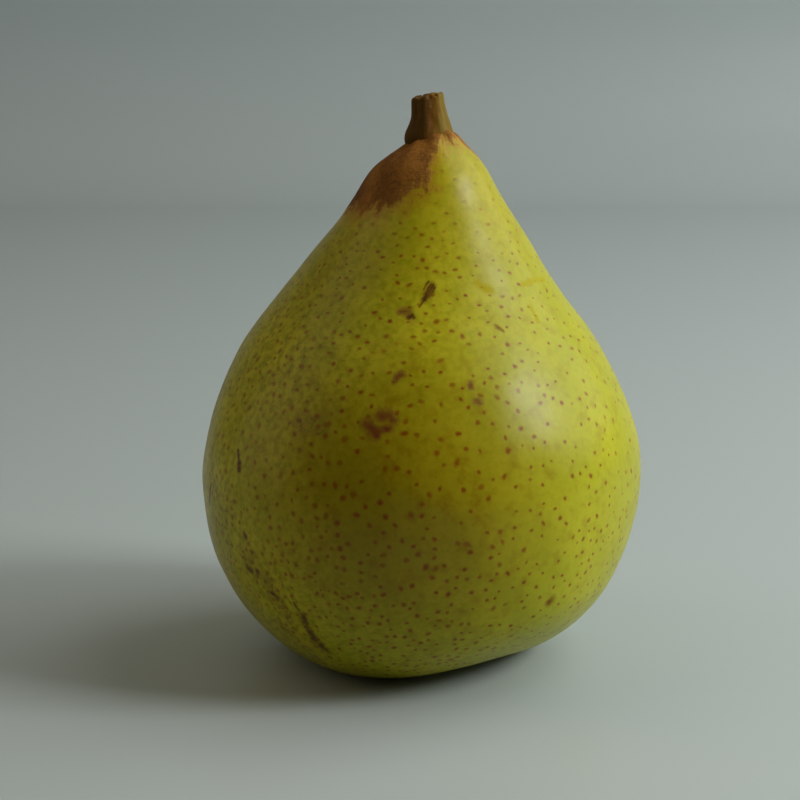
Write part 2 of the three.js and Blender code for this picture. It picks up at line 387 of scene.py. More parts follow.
# %% The russet cap's lower edge, and how far above it each point is on the unrolled neck
RUSSET_EDGE = [  # angle round the neck in degrees, height of the cap's edge
    (-180, 80.5),
    (-159, 80.8),
    (-139, 81.4),
    (-127, 81.7),
    (-123, 82.9),
    (-114, 83.5),
    (-107, 84.1),
    (-102, 85.6),
    (-95, 86.1),
    (-92, 88.5),
    (-90, 91.5),
    (-84, 93.0),
    (-60, 93.4),
    (-38, 93.0),
    (-28, 93.4),
    (-20, 93.2),
    (-12, 92.4),
    (-4, 91.2),
    (8, 88.0),
    (35, 85.0),
    (80, 85.0),
    (120, 83.6),
    (150, 81.5),
    (180, 80.5),
]
NECK_REACH = 10.0
edge = np.array(RUSSET_EDGE) * [np.radians(NECK_REACH), 1]
unrolled = np.stack([NECK_REACH * turn(fruit_angle, 0.0) + 0 * shaped[..., 2], shaped[..., 2]], axis=-1)
sign = np.sign(unrolled[..., 1] - np.interp(unrolled[..., 0], *edge.T))
above_edge = sign * nearest(unrolled, [(a, b, 1.0) for a, b in zip(edge[:-1], edge[1:])])

# %% Coordinates for streaks: noise read on (cos, sin, length) runs down the fruit and has no seam
STREAKS_AROUND, STREAK_LENGTH = 9.0, 5.0
along_fruit = run_along(fruit_rows)[:, None] / STREAK_LENGTH + 0 * fruit_angle
streak_place = np.stack(
    [
        STREAKS_AROUND * np.cos(fruit_angle) + 0 * along_fruit,
        STREAKS_AROUND * np.sin(fruit_angle) + 0 * along_fruit,
        along_fruit,
    ],
    axis=-1,
)

# %% [markdown]
# ## The mesh
#
# Each piece is one or more closed skins: rows of points run round an axis, from a pole at one end to a pole
# at the other. The cells between the rows become two triangles each, and the poles are closed by fans.


# %% Closed skins
def flat(grid):
    """A grid's values as one list: a single value for each pole row, and all of the rows between."""
    middle = grid[1:-1].reshape((-1,) + grid.shape[2:])
    return np.concatenate([grid[:1, 0], middle, grid[-1:, 0]])


def skin_faces(rows, around):
    """Triangles over such a list, seen from outside. Each cell of the grid gives two, and each pole a fan."""
    rings = rows - 2
    ring, step = np.meshgrid(np.arange(rings - 1), np.arange(around), indexing="ij")
    after = (step + 1) % around
    a = 1 + ring * around + step
    b = 1 + ring * around + after
    lower = np.stack([a, b, a + around], axis=-1).reshape(-1, 3)
    upper = np.stack([b, b + around, a + around], axis=-1).reshape(-1, 3)
    start = np.arange(around)
    last = 1 + (rings - 1) * around
    first_fan = np.stack([0 * start, 1 + (start + 1) % around, 1 + start], axis=-1)
    last_fan = np.stack([last + start, last + (start + 1) % around, 0 * start + last + around], axis=-1)
    return np.concatenate([first_fan, lower, upper, last_fan])


def make_piece(name, shells, material, node_name):
    """One object of one or more closed skins, given in millimetres. It stands for a node of the model."""
    points = [flat(grid) for grid in shells]
    starts = np.cumsum([0] + [len(each) for each in points[:-1]])
    faces = [skin_faces(*grid.shape[:2]) + start for grid, start in zip(shells, starts)]
    mesh = bpy.data.meshes.new(name)
    mesh.from_pydata((np.concatenate(points) * MM).tolist(), [], np.concatenate(faces).tolist())
    mesh.shade_smooth()
    mesh.materials.append(material)
    made = bpy.data.objects.new(name, mesh)
    bpy.context.scene.collection.objects.link(made)
    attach(made, "root")
    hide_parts(node_name)
    print(name, "has", len(mesh.polygons), "triangles")
    return made


def keep(made, name, values, domain="POINT"):
    """Keeps a number or a vector for every point or face of a piece, for its material to read."""
    is_vector = values.ndim == 2
    layer = made.data.attributes.new(name, "FLOAT_VECTOR" if is_vector else "FLOAT", domain)
    layer.data.foreach_set("vector" if is_vector else "value", values.astype(np.float32).ravel())


# %% [markdown]
# ## The skin's finish
#
# Ripe pear skin is a thin waxy film over green-yellow flesh. Wax gives a soft, wide highlight, so the
# roughness is moderate. The colours could come from a picture of a pear, but noise and the kept places give
# the same look at any size and on every side. All sizes below are real ones, in millimetres. The colours go
# on in layers, from the ground up, so each cell below only makes a mask: 1 where its colour shows.


# %% Colours and nodes
def linear(code):
    """An sRGB hex colour as linear light. Each share c becomes c/12.92 up to 0.04045, and
    ((c + 0.055)/1.055)^2.4 above."""
    shares = [int(code[i : i + 2], 16) / 255 for i in (1, 3, 5)]
    light = [c / 12.92 if c <= 0.04045 else ((c + 0.055) / 1.055) ** 2.4 for c in shares]
    return (*light, 1.0)


def node(material, kind, inputs=None, stops=(), **settings):
    """Adds a shader node of a kind. Each input is given a value, or the output that is linked to it, where
    a node stands for its first output. Stops are the places and colours of a ramp."""
    made = material.node_tree.nodes.new("ShaderNode" + kind)
    for name, value in settings.items():
        setattr(made, name, value)
    for name, value in (inputs or {}).items():
        if isinstance(value, bpy.types.Node):
            value = value.outputs[0]
        if isinstance(value, bpy.types.NodeSocket):
            material.node_tree.links.new(value, made.inputs[name])
        else:
            made.inputs[name].default_value = value
    for _ in stops[2:]:  # a ramp starts with two
        made.color_ramp.elements.new(0.5)
    for i, (position, code) in enumerate(stops):
        made.color_ramp.elements[i].position = position
        made.color_ramp.elements[i].color = linear(code)
    return made


def new_material(name):
    """An empty node material."""
    material = bpy.data.materials.new(name)
    material.use_nodes = True
    material.node_tree.nodes.clear()
    return material


def place_in_mm(material):
    """The place on the object in millimetres, so that patterns have their real sizes."""
    place = node(material, "TexCoord").outputs["Object"]
    return node(material, "VectorMath", {0: place, "Scale": 1 / MM}, operation="SCALE")


SOFTLY = {"interpolation_type": "SMOOTHSTEP"}  # a range with eased ends

# %% The ground colour: patches of greener and yellower skin, some 15 mm across
skin = new_material("waxy_pear_skin")
in_mm = place_in_mm(skin)
patches = node(skin, "TexNoise", {"Vector": in_mm, "Scale": 1 / 15, "Detail": 3.0, "Roughness": 0.55})
ground = node(skin, "ValToRGB", {"Fac": patches}, [(0.34, "#A19E1A"), (0.66, "#B8B020")])

# %% Painted shade that darkens the neck towards the top, and a painted greener tint on the lit right side
apart = node(skin, "SeparateXYZ", {0: in_mm})
sideways, level = apart.outputs["X"], apart.outputs["Z"]
# painted shade: the skin is made darker from 60 to 84 mm up the neck
neck_shade = node(skin, "MapRange", {"Value": level, "From Min": 60, "From Max": 84})
# painted light: the right side, which the window lights, is tinted greener
lit_side_green = node(skin, "MapRange", {"Value": sideways, "From Min": 0, "From Max": 20})

# %% Mottling: flecks of greener flesh under the wax, a millimetre across, strongest on the left as painted shade
mottle = node(skin, "TexNoise", {"Vector": in_mm, "Scale": 1 / 1.2, "Detail": 2.0, "Roughness": 0.6})
greener = node(skin, "MapRange", {"Value": mottle, "From Min": 0.42, "From Max": 0.68, "To Max": 0.9})
# painted shade: the darker flecks grow from a fifth on the right to full strength on the left
painted_shade_left = node(skin, "MapRange", {"Value": sideways, "From Min": 20, "From Max": -15, "To Min": 0.22})
mottle_and_shade = node(skin, "Math", {0: greener, 1: painted_shade_left}, operation="MULTIPLY")

# %% Warmth: broken orange flush between the flecks, and a browner patch of painted shade on the front of the belly
warmth = node(skin, "TexNoise", {"Vector": in_mm, "Scale": 1 / 2.6, "Detail": 3.0, "Roughness": 0.6})
warmer = node(skin, "MapRange", {"Value": warmth, "From Min": 0.5, "From Max": 0.75, "To Max": 0.4})
BELLY_SHADE_CENTRE = (-4.0, -37.0, 36.0)
from_belly_shade = node(skin, "VectorMath", {0: in_mm, 1: BELLY_SHADE_CENTRE}, operation="DISTANCE")
# painted shade: a soft dark patch on the front of the belly, where the light falls off
belly_shade = node(
    skin,
    "MapRange",
    {"Value": from_belly_shade.outputs["Value"], "From Min": 36.0, "From Max": 6.0, "To Min": 0.05, "To Max": 0.7},
    **SOFTLY,
)
warmth_and_belly_shade = node(skin, "Math", {0: warmer, 1: belly_shade}, operation="ADD")

# %% [markdown]
# A pore is smaller than a cell of the mesh, so a distance kept at the cell's corners would be too coarse for
# it. Every face keeps the place of its nearest pore instead, and the material measures the distance to that.
# The place is jittered by a fine noise first, because real pores have ragged outlines.

# %% A jittered place
jitter = node(skin, "TexNoise", {"Vector": in_mm, "Scale": 1 / 0.8, "Detail": 3.0, "Roughness": 0.6})
centred = node(skin, "VectorMath", {0: jitter.outputs["Color"], 1: (0.5, 0.5, 0.5)}, operation="SUBTRACT")


def strayed(size):
    """The place, moved about by up to a size in millimetres."""
    return node(skin, "VectorMath", {0: centred, 1: (4 * size,) * 3, 2: in_mm}, operation="MULTIPLY_ADD")


# %% Pores: dark in the middle, fading outwards, drawn out along their slant, and sideways on the neck
pore_spot = node(skin, "Attribute", attribute_name="pore_spot").outputs["Vector"]
pore_size = node(skin, "Attribute", attribute_name="pore_half").outputs["Fac"]
pore_depth = node(skin, "Attribute", attribute_name="pore_tone").outputs["Fac"]
pore_slanted = node(skin, "Attribute", attribute_name="pore_slant").outputs["Vector"]
offset = node(skin, "VectorMath", {0: strayed(0.14), 1: pore_spot}, operation="SUBTRACT")
along_slant = node(skin, "VectorMath", {0: offset, 1: pore_slanted}, operation="DOT_PRODUCT")
slant_part = node(
    skin, "VectorMath", {0: pore_slanted, "Scale": along_slant.outputs["Value"]}, operation="SCALE"
)
drawn_out = node(skin, "VectorMath", {0: offset, 1: slant_part}, operation="SUBTRACT")
flatness = node(
    skin, "MapRange", {"Value": level, "From Min": 45, "From Max": 70, "To Min": 1.0, "To Max": 1.45}
)
squash = node(skin, "CombineXYZ", {"X": 0.95, "Y": 0.95, "Z": flatness})
squashed = node(skin, "VectorMath", {0: drawn_out, 1: squash}, operation="MULTIPLY")
to_pore = node(skin, "VectorMath", {0: squashed}, operation="LENGTH")
pore_share = node(skin, "Math", {0: to_pore.outputs["Value"], 1: pore_size}, operation="DIVIDE")
pore = node(
    skin,
    "MapRange",
    {"Value": pore_share, "From Min": 1.4, "From Max": 0.25, "To Max": pore_depth},
    **SOFTLY,
)

# %% [markdown]
# A scratch is finer still. There are only a few, so their lines are written into the material, which
# measures its distance to each of them and keeps the smallest. Fibres of torn skin run along the long scar,
# so its noise is stretched that way.

# %% Scratches, as lines with a half-width, in millimetres
SCRATCHES = [
    ((1.6, -21.3, 70.5), (1.1, -21.9, 69.7), 0.46),
    ((1.1, -21.9, 69.7), (0.7, -22.4, 69.1), 0.6),
    ((0.7, -22.4, 69.1), (0.2, -22.8, 68.4), 0.42),
    ((0.2, -22.8, 68.4), (-0.6, -23.6, 67.3), 0.15),
    ((1.0, -20.9, 71.1), (0.5, -21.3, 70.6), 0.16),
    ((0.5, -21.3, 70.6), (0.1, -21.8, 69.9), 0.14),
    ((2.0, -21.5, 70.2), (1.6, -22.0, 69.5), 0.24),
    ((-2.4, -24.7, 65.7), (-2.1, -24.6, 65.8), 0.36),
    ((-1.8, -24.5, 66.0), (-1.6, -24.6, 65.7), 0.32),
    ((-31.3, -21.3, 42.2), (-31.1, -22.5, 40.2), 0.28),
    ((-31.1, -22.5, 40.2), (-31.0, -22.8, 39.2), 0.5),
    ((-36.6, -13.8, 34.2), (-37.0, -12.2, 30.2), 0.25),
]
scar_run = Vector(SCRATCHES[0][0]) - Vector(SCRATCHES[3][1])  # the first four are the long scar
streaky = node(
    skin,
    "Mapping",
    {"Vector": in_mm, "Rotation": scar_run.to_track_quat("Z", "Y").to_euler(), "Scale": (0.3, 0.3, 2.4)},
    vector_type="TEXTURE",
)
strands = node(skin, "TexNoise", {"Vector": streaky, "Scale": 1.2, "Detail": 2.0})
scratched = strayed(0.06)


def beyond(a, b, half):
    """How far the place lies from a scratch, in half-widths: the distance to the nearest point of the line,
    a + t(b - a), with t = (p - a).(b - a)/|b - a|^2 kept between 0 and 1."""
    along = Vector(b) - Vector(a)
    run = along / along.length_squared
    from_a = node(skin, "VectorMath", {0: scratched, 1: a}, operation="SUBTRACT")
    dot = node(skin, "VectorMath", {0: from_a, 1: run}, operation="DOT_PRODUCT")
    t = node(skin, "Clamp", {"Value": dot.outputs["Value"]})
    on_line = node(skin, "VectorMath", {0: along, "Scale": t}, operation="SCALE")
    gap = node(skin, "VectorMath", {0: from_a, 1: on_line}, operation="DISTANCE")
    return node(skin, "Math", {0: gap.outputs["Value"], 1: half}, operation="DIVIDE")


closest = beyond(*SCRATCHES[0])
for scratch in SCRATCHES[1:]:
    closest = node(skin, "Math", {0: closest, 1: beyond(*scratch)}, operation="MINIMUM")
stranded = node(skin, "Math", {0: strands, 1: 0.9, 2: closest}, operation="MULTIPLY_ADD")
scar = node(skin, "MapRange", {"Value": stranded, "From Min": 1.8, "From Max": 0.95}, **SOFTLY)

# %% Bruised skin round them
bruise = node(skin, "MapRange", {"Value": closest, "From Min": 2.3, "From Max": 0.7}, **SOFTLY)

# %% The scratches' own colours: dark threads beside olive ones
scar_tone = node(skin, "ValToRGB", {"Fac": strands}, [(0.42, "#3C2208"), (0.66, "#6C4A10")])

# %% Rubs, grazes, stains and golden streaks: soft, blotchy places
blotchy = node(skin, "TexNoise", {"Vector": in_mm, "Scale": 1 / 1.4, "Detail": 3.0, "Roughness": 0.6})


def soft_mark(name, raggedness, inner, outer):
    """1 in the middle of a mark and 0 off it: the kept distance plus noise fades from inner to outer."""
    kept = node(skin, "Attribute", attribute_name=name).outputs["Fac"]
    wavy = node(skin, "Math", {0: blotchy, 1: raggedness, 2: kept}, operation="MULTIPLY_ADD")
    return node(
        skin,
        "MapRange",
        {"Value": wavy, "From Min": outer + raggedness / 2, "From Max": inner + raggedness / 2},
        **SOFTLY,
    )


rub = soft_mark("rub", 1.3, 0.0, 1.6)
graze = soft_mark("graze", 2.4, 0.2, 1.5)
stain = soft_mark("stain", 1.0, 0.2, 1.3)
tan = soft_mark("tan", 1.4, 0.1, 1.5)

# %% Specks that crowd together in the stains
speck_noise = node(skin, "TexNoise", {"Vector": in_mm, "Scale": 1 / 1.1, "Detail": 3.0, "Roughness": 0.7})
speck = node(
    skin, "MapRange", {"Value": speck_noise, "From Min": 0.5, "From Max": 0.66, "To Min": 0.3}, **SOFTLY
)
stained = node(skin, "Math", {0: speck, 1: stain}, operation="MULTIPLY")

# %% [markdown]
# Cork has no wax: it is dull, rough and brown. The cap's edge is drawn where the kept height is zero. Fine
# noise and streaks are added to the height first, so the edge breaks up into specks, and an ochre fringe
# comes before the brown.

# %% Russet
over_edge = node(skin, "Attribute", attribute_name="over_edge").outputs["Fac"]
rag = node(skin, "TexNoise", {"Vector": in_mm, "Scale": 1 / 1.1, "Detail": 4.0, "Roughness": 0.65})
meridian = node(skin, "Attribute", attribute_name="meridian").outputs["Vector"]
streaks = node(skin, "TexNoise", {"Vector": meridian, "Scale": 1.0, "Detail": 3.0, "Roughness": 0.6})
noises = node(skin, "Math", {0: rag, 1: streaks}, operation="ADD")
centred_noise = node(skin, "Math", {0: noises, 1: 1.0}, operation="SUBTRACT")
ragged_edge = node(skin, "Math", {0: centred_noise, 1: 6.0, 2: over_edge}, operation="MULTIPLY_ADD")
russet_cap = node(skin, "MapRange", {"Value": ragged_edge, "From Min": -1.0, "From Max": 1.4}, **SOFTLY)
fringe = node(skin, "MapRange", {"Value": ragged_edge, "From Min": -3.2, "From Max": 0.6}, **SOFTLY)
basin = node(skin, "Attribute", attribute_name="basin").outputs["Fac"]
basin_ragged = node(skin, "Math", {0: centred_noise, 1: basin}, operation="ADD")
basin_cork = node(skin, "MapRange", {"Value": basin_ragged, "From Min": 0.35, "From Max": 0.85}, **SOFTLY)
russet = node(skin, "Math", {0: russet_cap, 1: basin_cork}, operation="MAXIMUM")

# %% Cork's own colours: a fine grain of brown and rust, over soft patches of dark and light
grain = node(skin, "TexNoise", {"Vector": in_mm, "Scale": 1 / 0.55, "Detail": 4.0, "Roughness": 0.7})
cork_patch = node(skin, "TexNoise", {"Vector": in_mm, "Scale": 1 / 5, "Detail": 2.0})
cork_mix = node(skin, "Math", {0: grain, 1: cork_patch}, operation="ADD")
cork_half = node(skin, "Math", {0: cork_mix, 1: 0.5}, operation="MULTIPLY")
CORK_TONES = [(0.36, "#58320E"), (0.5, "#764A14"), (0.64, "#946220")]
cork = node(skin, "ValToRGB", {"Fac": cork_half}, CORK_TONES)

# %% Layers of colour, from the ground up
COVERS = [  # mask, how much of it covers, and the colour
    # painted shade on the neck
    (neck_shade, 0.5, linear("#9A880E")),
    # painted light: the greener tint of the window-lit right side
    (lit_side_green, 0.4, linear("#A2AC1C")),
    # real flecks, made stronger on the left as painted shade
    (mottle_and_shade, 1.0, linear("#828600")),
    # the skin's own orange warmth, and the painted shade on the front of the belly
    (warmth_and_belly_shade, 1.0, linear("#866E00")),
    (pore, 0.98, linear("#7E3E06")),
    (stained, 0.85, linear("#6A4E20")),
    (tan, 0.6, linear("#A49400")),
    (rub, 0.9, linear("#6A2E08")),
    (graze, 0.9, linear("#543012")),
    (fringe, 0.78, linear("#A4701E")),
    (russet, 0.96, cork),
    (bruise, 0.6, linear("#70480E")),
    (scar, 0.9, scar_tone),
]
colour = ground
for mask, most, cover in COVERS:  # a Mix node's colours are its inputs 6 and 7, and its output 2
    share = node(skin, "Math", {0: mask, 1: most}, operation="MULTIPLY")
    colour = node(skin, "Mix", {0: share, 6: colour, 7: cover}, data_type="RGBA").outputs[2]

# %% Dull cork and shiny wax
rubbed = node(skin, "Math", {0: rub, 1: tan}, operation="MAXIMUM")
dull = node(skin, "Math", {0: russet, 1: rubbed}, operation="MAXIMUM")
roughness = node(skin, "MapRange", {"Value": dull, "To Min": 0.33, "To Max": 0.75})

# %% Relief too fine for the mesh: a faint orange-peel in the wax, sunk pores, gritty cork and sunk scars
peel = node(skin, "TexNoise", {"Vector": in_mm, "Scale": 1 / 0.9, "Detail": 2.0})
grit = node(skin, "Math", {0: grain, 1: russet}, operation="MULTIPLY")
FINE_RELIEF = [(peel, 0.014, False), (pore, 0.01, True), (grit, 0.16, False), (scar, 0.02, True)]
before = {}
for height, rise, sunk in FINE_RELIEF:  # each bump starts from the normal of the one before it
    settings = {"Height": height, "Distance": rise * MM, "Strength": 1.0, **before}
    before = {"Normal": node(skin, "Bump", settings, invert=sunk)}

# %% The skin's shader
skin_shader = node(
    skin,
    "BsdfPrincipled",
    {
        "Base Color": colour,
        "Roughness": roughness,
        "IOR": 1.45,
        "Specular IOR Level": 0.19,
        "Subsurface Weight": 0.05,
        "Subsurface Radius": (1.0, 0.7, 0.2),
        "Subsurface Scale": 2.0 * MM,
        **before,
    },
)
node(skin, "OutputMaterial", {"Surface": skin_shader})
print("skin has", len(skin.node_tree.nodes), "nodes")

# %% The fruit, with what its skin keeps
fruit = make_piece("fruit_skin", [shaped], skin, "fruit")
for name, marks in (("rub", RUBS), ("graze", GRAZES), ("stain", STAINS), ("tan", TANS)):
    keep(fruit, name, flat(nearest(shaped, marks)))
keep(fruit, "over_edge", flat(above_edge))
keep(fruit, "meridian", flat(streak_place))
basin_share = bell(np.hypot(shaped[..., 0], shaped[..., 1]), FURROWS["radius"]) * (shaped[..., 2] < BASIN_TOP)
keep(fruit, "basin", flat(basin_share))

# %% Each face's nearest pore: the one with the smallest |c|^2 - 2 p.c
centres = np.empty((len(fruit.data.polygons), 3), np.float32)
fruit.data.polygons.foreach_get("center", centres.ravel())
seeds = pores.astype(np.float32)
own_size = (seeds**2).sum(axis=1)
BLOCKS = 80  # the faces are taken in parts, to spare memory
blocks = np.array_split(centres / MM, BLOCKS)
which = np.concatenate([np.argmin(own_size - 2 * block @ seeds.T, axis=1) for block in blocks])
pore_facts = {"pore_spot": pores, "pore_half": pore_half, "pore_tone": pore_tone, "pore_slant": pore_slant}
for name, values in pore_facts.items():
    keep(fruit, name, values[which], "FACE")

# %% [markdown]
# ## The stalk
#
# The stalk is wood under a thin fluted bark. It swells into a fleshy knuckle where it leaves the fruit, and
# ends in a ragged break. It could be a bent cylinder with a noise texture, but its outline against the light
# shows every lump, so the flutes, the fibres and the break are real relief here.

# %% Driving dimensions of the stalk
STALK_OUTLINE = [  # radius, height above the foot
    (0, -4.2),
    (1.6, -4.0),
    (2.6, -3.2),
    (3.0, -2.1),
    (3.3, -1.2),
    (3.7, -0.6),
    (4.0, 0.2),
    (3.9, 1.0),
    (3.65, 2.0),
    (3.3, 3.6),
    (3.0, 5.4),
    (2.8, 6.8),
    (2.7, 7.6),
    (2.2, 7.95),
    (1.1, 7.75),
    (0, 7.6),
]
STALK_ROWS, STALK_AROUND = 150, 240
STALK_LEAN = -0.5
STALK_TILT = 0.17
STALK_TOP = STALK_OUTLINE[-1][1]
FLUTES = {"count": 7, "depth": 0.12}
KNUCKLE = {"azimuth": np.radians(-165), "spread": np.radians(70), "rise": 0.6, "height": 1.6, "width": 1.6}
WAIST = {"azimuth": np.radians(180), "spread": np.radians(60), "rise": -0.25, "height": 5.0, "width": 1.8}
FIBRE = {"length": 1.1, "stretch": 6.0, "rise": 0.025, "seed": 11}
LUMPS = {"length": 2.4, "rise": 0.05, "seed": 12}
LIT_SIDE = np.radians(8)  # the side that faces the window, painted lighter; the far side is painted shade
LIT_FADE, STALK_MIDDLE = 0.05, 4  # the painted light fades a little for each millimetre above the middle
BREAK = {"reach": 0.6, "length": 1.0, "rise": 0.12, "sink": 0.2, "seed": 13}  # reach is down from the top
CRACKS = {"angles": (-2.2, -0.9, 0.4, 1.9, 2.7), "depth": 0.22, "width": 0.12, "widening": 0.1}
CRACKS_OPEN, CRACKS_WIDEN = (0.3, 1.4), (0, 2.5)  # from and to, away from the middle
STALK_AXIS_CALM = 2
ROD = 4  # radius of the plain rod that the bark's noise is read on


# %% The stalk's bark
def stalk_bark(rows, angle):
    """The bark's grid. The reach is the radius, plus flutes as cos(7 x angle), the knuckle and the waist as
    bells round their places, and fibres, which are waves stretched upwards. Sections are tilted, and the
    broken end leans and gapes in a few cracks."""
    radius, height = (column[:, None] for column in rows.T)
    away = smooth(radius, 0, STALK_AXIS_CALM)
    relief = FLUTES["depth"] * np.cos(FLUTES["count"] * angle)
    for lump in (KNUCKLE, WAIST):
        aside = bell(turn(angle, lump["azimuth"]), lump["spread"])
        relief = relief + lump["rise"] * aside * bell(height - lump["height"], lump["width"])
    rod = [ROD * np.cos(angle) + 0 * height, ROD * np.sin(angle) + 0 * height, height + 0 * angle]
    rod = np.stack(rod, axis=-1)
    relief = relief + FIBRE["rise"] * waves(rod / [1, 1, FIBRE["stretch"]], FIBRE["length"], FIBRE["seed"])
    relief = relief + LUMPS["rise"] * waves(rod, LUMPS["length"], LUMPS["seed"])
    reach = radius + away * relief
    x = reach * np.cos(angle)
    y = reach * np.sin(angle)
    ragged = waves(np.stack([x, y, 0 * x], -1), BREAK["length"], BREAK["seed"])
    ragged = BREAK["rise"] * ragged - BREAK["sink"]
    for crack in CRACKS["angles"]:
        width = CRACKS["width"] + CRACKS["widening"] * smooth(reach, *CRACKS_WIDEN)
        gape = bell(reach * turn(angle, crack), width) * smooth(reach, *CRACKS_OPEN)
        ragged = ragged - CRACKS["depth"] * gape
    z = height + STALK_TILT * x + smooth(height, STALK_TOP - BREAK["reach"], STALK_TOP) * ragged
    up = smooth(height, 0, STALK_TOP)
    return np.stack([x + STALK_LEAN * up, y, z], axis=-1) + STALK_FOOT - MIDDLE


stalk_rows = evenly(spline(STALK_OUTLINE), STALK_ROWS)
stalk_angle = np.linspace(0, 2 * np.pi, STALK_AROUND, endpoint=False)[None, :]
stalk_grid = stalk_bark(stalk_rows, stalk_angle)
print("stalk tops out at", stalk_grid[..., 2].max().round(2), "mm")

# %% Bark: fibrous, with painted shade: almost black-brown away from the window and olive gold on the lit side
bark = new_material("dry_pear_wood_bark")
bark_mm = place_in_mm(bark)
stretched = node(bark, "Mapping", {"Vector": bark_mm, "Scale": (1.0, 1.0, 0.3)})
bark_fibre = node(
    bark, "TexNoise", {"Vector": stretched, "Scale": 1 / 0.8, "Detail": 3.0, "Roughness": 0.5}
)
# painted light and shade across the stalk, from the side away from the window to the side facing it
painted_light = node(bark, "Attribute", attribute_name="painted_light").outputs["Fac"]
lit_ragged = node(bark, "Math", {0: bark_fibre, 1: 0.9, 2: painted_light}, operation="MULTIPLY_ADD")
painted_light_mask = node(bark, "MapRange", {"Value": lit_ragged, "From Min": -0.1, "From Max": 1.3})
# tones from the painted shade to the painted light
BARK_TONES = [(0.15, "#54390C"), (0.3, "#563808"), (0.45, "#6A4204"), (0.62, "#705210"), (0.9, "#6E5A16")]
bark_tone = node(bark, "ValToRGB", {"Fac": painted_light_mask}, BARK_TONES)

# %% Pale flecks of dry wood, and russet creeping up from the foot
flecks = node(bark, "TexNoise", {"Vector": bark_mm, "Scale": 1 / 0.8, "Detail": 3.0, "Roughness": 0.6})
fleck_mask = node(bark, "MapRange", {"Value": flecks, "From Min": 0.66, "From Max": 0.76, "To Max": 0.4})
flecked = node(bark, "Mix", {0: fleck_mask, 6: bark_tone, 7: linear("#A8845C")}, data_type="RGBA")
bark_height = node(bark, "SeparateXYZ", {0: bark_mm}).outputs["Z"]
foot_noise = node(bark, "Math", {0: flecks, 1: 3.0, 2: bark_height}, operation="MULTIPLY_ADD")
foot_mask = node(
    bark, "MapRange", {"Value": foot_noise, "From Min": 96.4, "From Max": 93.6, "To Max": 0.75}, **SOFTLY
)
# the russet at the foot is drawn only on the painted lit side
foot_share = node(bark, "Math", {0: foot_mask, 1: painted_light_mask}, operation="MULTIPLY")
bark_colour = node(
    bark, "Mix", {0: foot_share, 6: flecked.outputs[2], 7: linear("#8E5E16")}, data_type="RGBA"
)
fibre_bump = node(bark, "Bump", {"Height": bark_fibre, "Distance": 0.1 * MM, "Strength": 1.0})
bark_shader = node(
    bark,
    "BsdfPrincipled",
    {
        "Base Color": bark_colour.outputs[2],
        "Roughness": 0.65,
        "IOR": 1.5,
        "Specular IOR Level": 0.12,
        "Normal": fibre_bump,
    },
)
node(bark, "OutputMaterial", {"Surface": bark_shader})
stalk = make_piece("stalk_bark", [stalk_grid], bark, "stalk")
# painted light on the stalk: the cosine of the angle from the window side, a little less higher up
lit_facing = np.cos(stalk_angle - LIT_SIDE) - LIT_FADE * (stalk_rows[:, 1:2] - STALK_MIDDLE) + 0 * stalk_grid[..., 0]
keep(stalk, "painted_light", flat(lit_facing))

# %% [markdown]
# ## The calyx
#
# Under the fruit, in the basin, sit the withered remains of the flower: a small cup, five dry sepals that
# curl away from it, and a tuft of stamens. Each sepal is a flattened ball drawn out to a point, folded along
# its midrib and bent on an arc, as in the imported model, with a crumpled edge.

# %% Driving dimensions of the calyx
CUP_OUTLINE = [(0, 7.6), (1.7, 7.4), (2.1, 6.5), (2.7, 6.1), (3.2, 6.9), (3.1, 8.2), (2.4, 9.0), (0, 9.0)]
SEPAL = {"count": 5, "length": 6.4, "width": 3.3, "thickness": 0.7, "azimuth": np.radians(25)}
SEPAL_ROOT = {"radius": 2.3, "height": 6.9}
SEPAL_SLOPE = {"root": np.radians(-14), "tip": np.radians(-62)}
SEPAL_FOLD = 0.55
SEPAL_TAPER = {"share": 0.72, "from": 0.35}
SEPAL_CRUMPLE = {"rise": 0.14, "length": 2.0, "seed": 20}
CUP_WARP = 0.03
CUP_GRID, SEPAL_GRID, STAMEN_GRID = (60, 90), (48, 40), (16, 8)  # rows and columns
STAMENS = {"count": 18, "length": 2.2, "radius": 0.13, "ring": 1.05, "lean": np.radians(20), "root": 0.3}
TIP = {"swell": 1.1, "place": 0.9, "width": 0.1}  # as shares of a stamen's radius and length
STAMEN_SEED = 5


# %% Cup, sepals and stamens
def spun(grid, angle):
    """The grid turned about the upright axis."""
    c, s = np.cos(angle), np.sin(angle)
    return grid @ np.array([[c, s, 0], [-s, c, 0], [0, 0, 1]])


def cup():
    """A turned cup, slightly out of round: reach = radius x (1 + warp x cos 5a)."""
    rows = evenly(spline(CUP_OUTLINE, 12), CUP_GRID[0])
    angle = np.linspace(0, 2 * np.pi, CUP_GRID[1], endpoint=False)[None, :]
    radius, height = (column[:, None] for column in rows.T)
    reach = np.maximum(radius, 0) * (1 + CUP_WARP * np.cos(SEPAL["count"] * angle))
    return np.stack([reach * np.cos(angle), reach * np.sin(angle), height + 0 * angle], axis=-1)


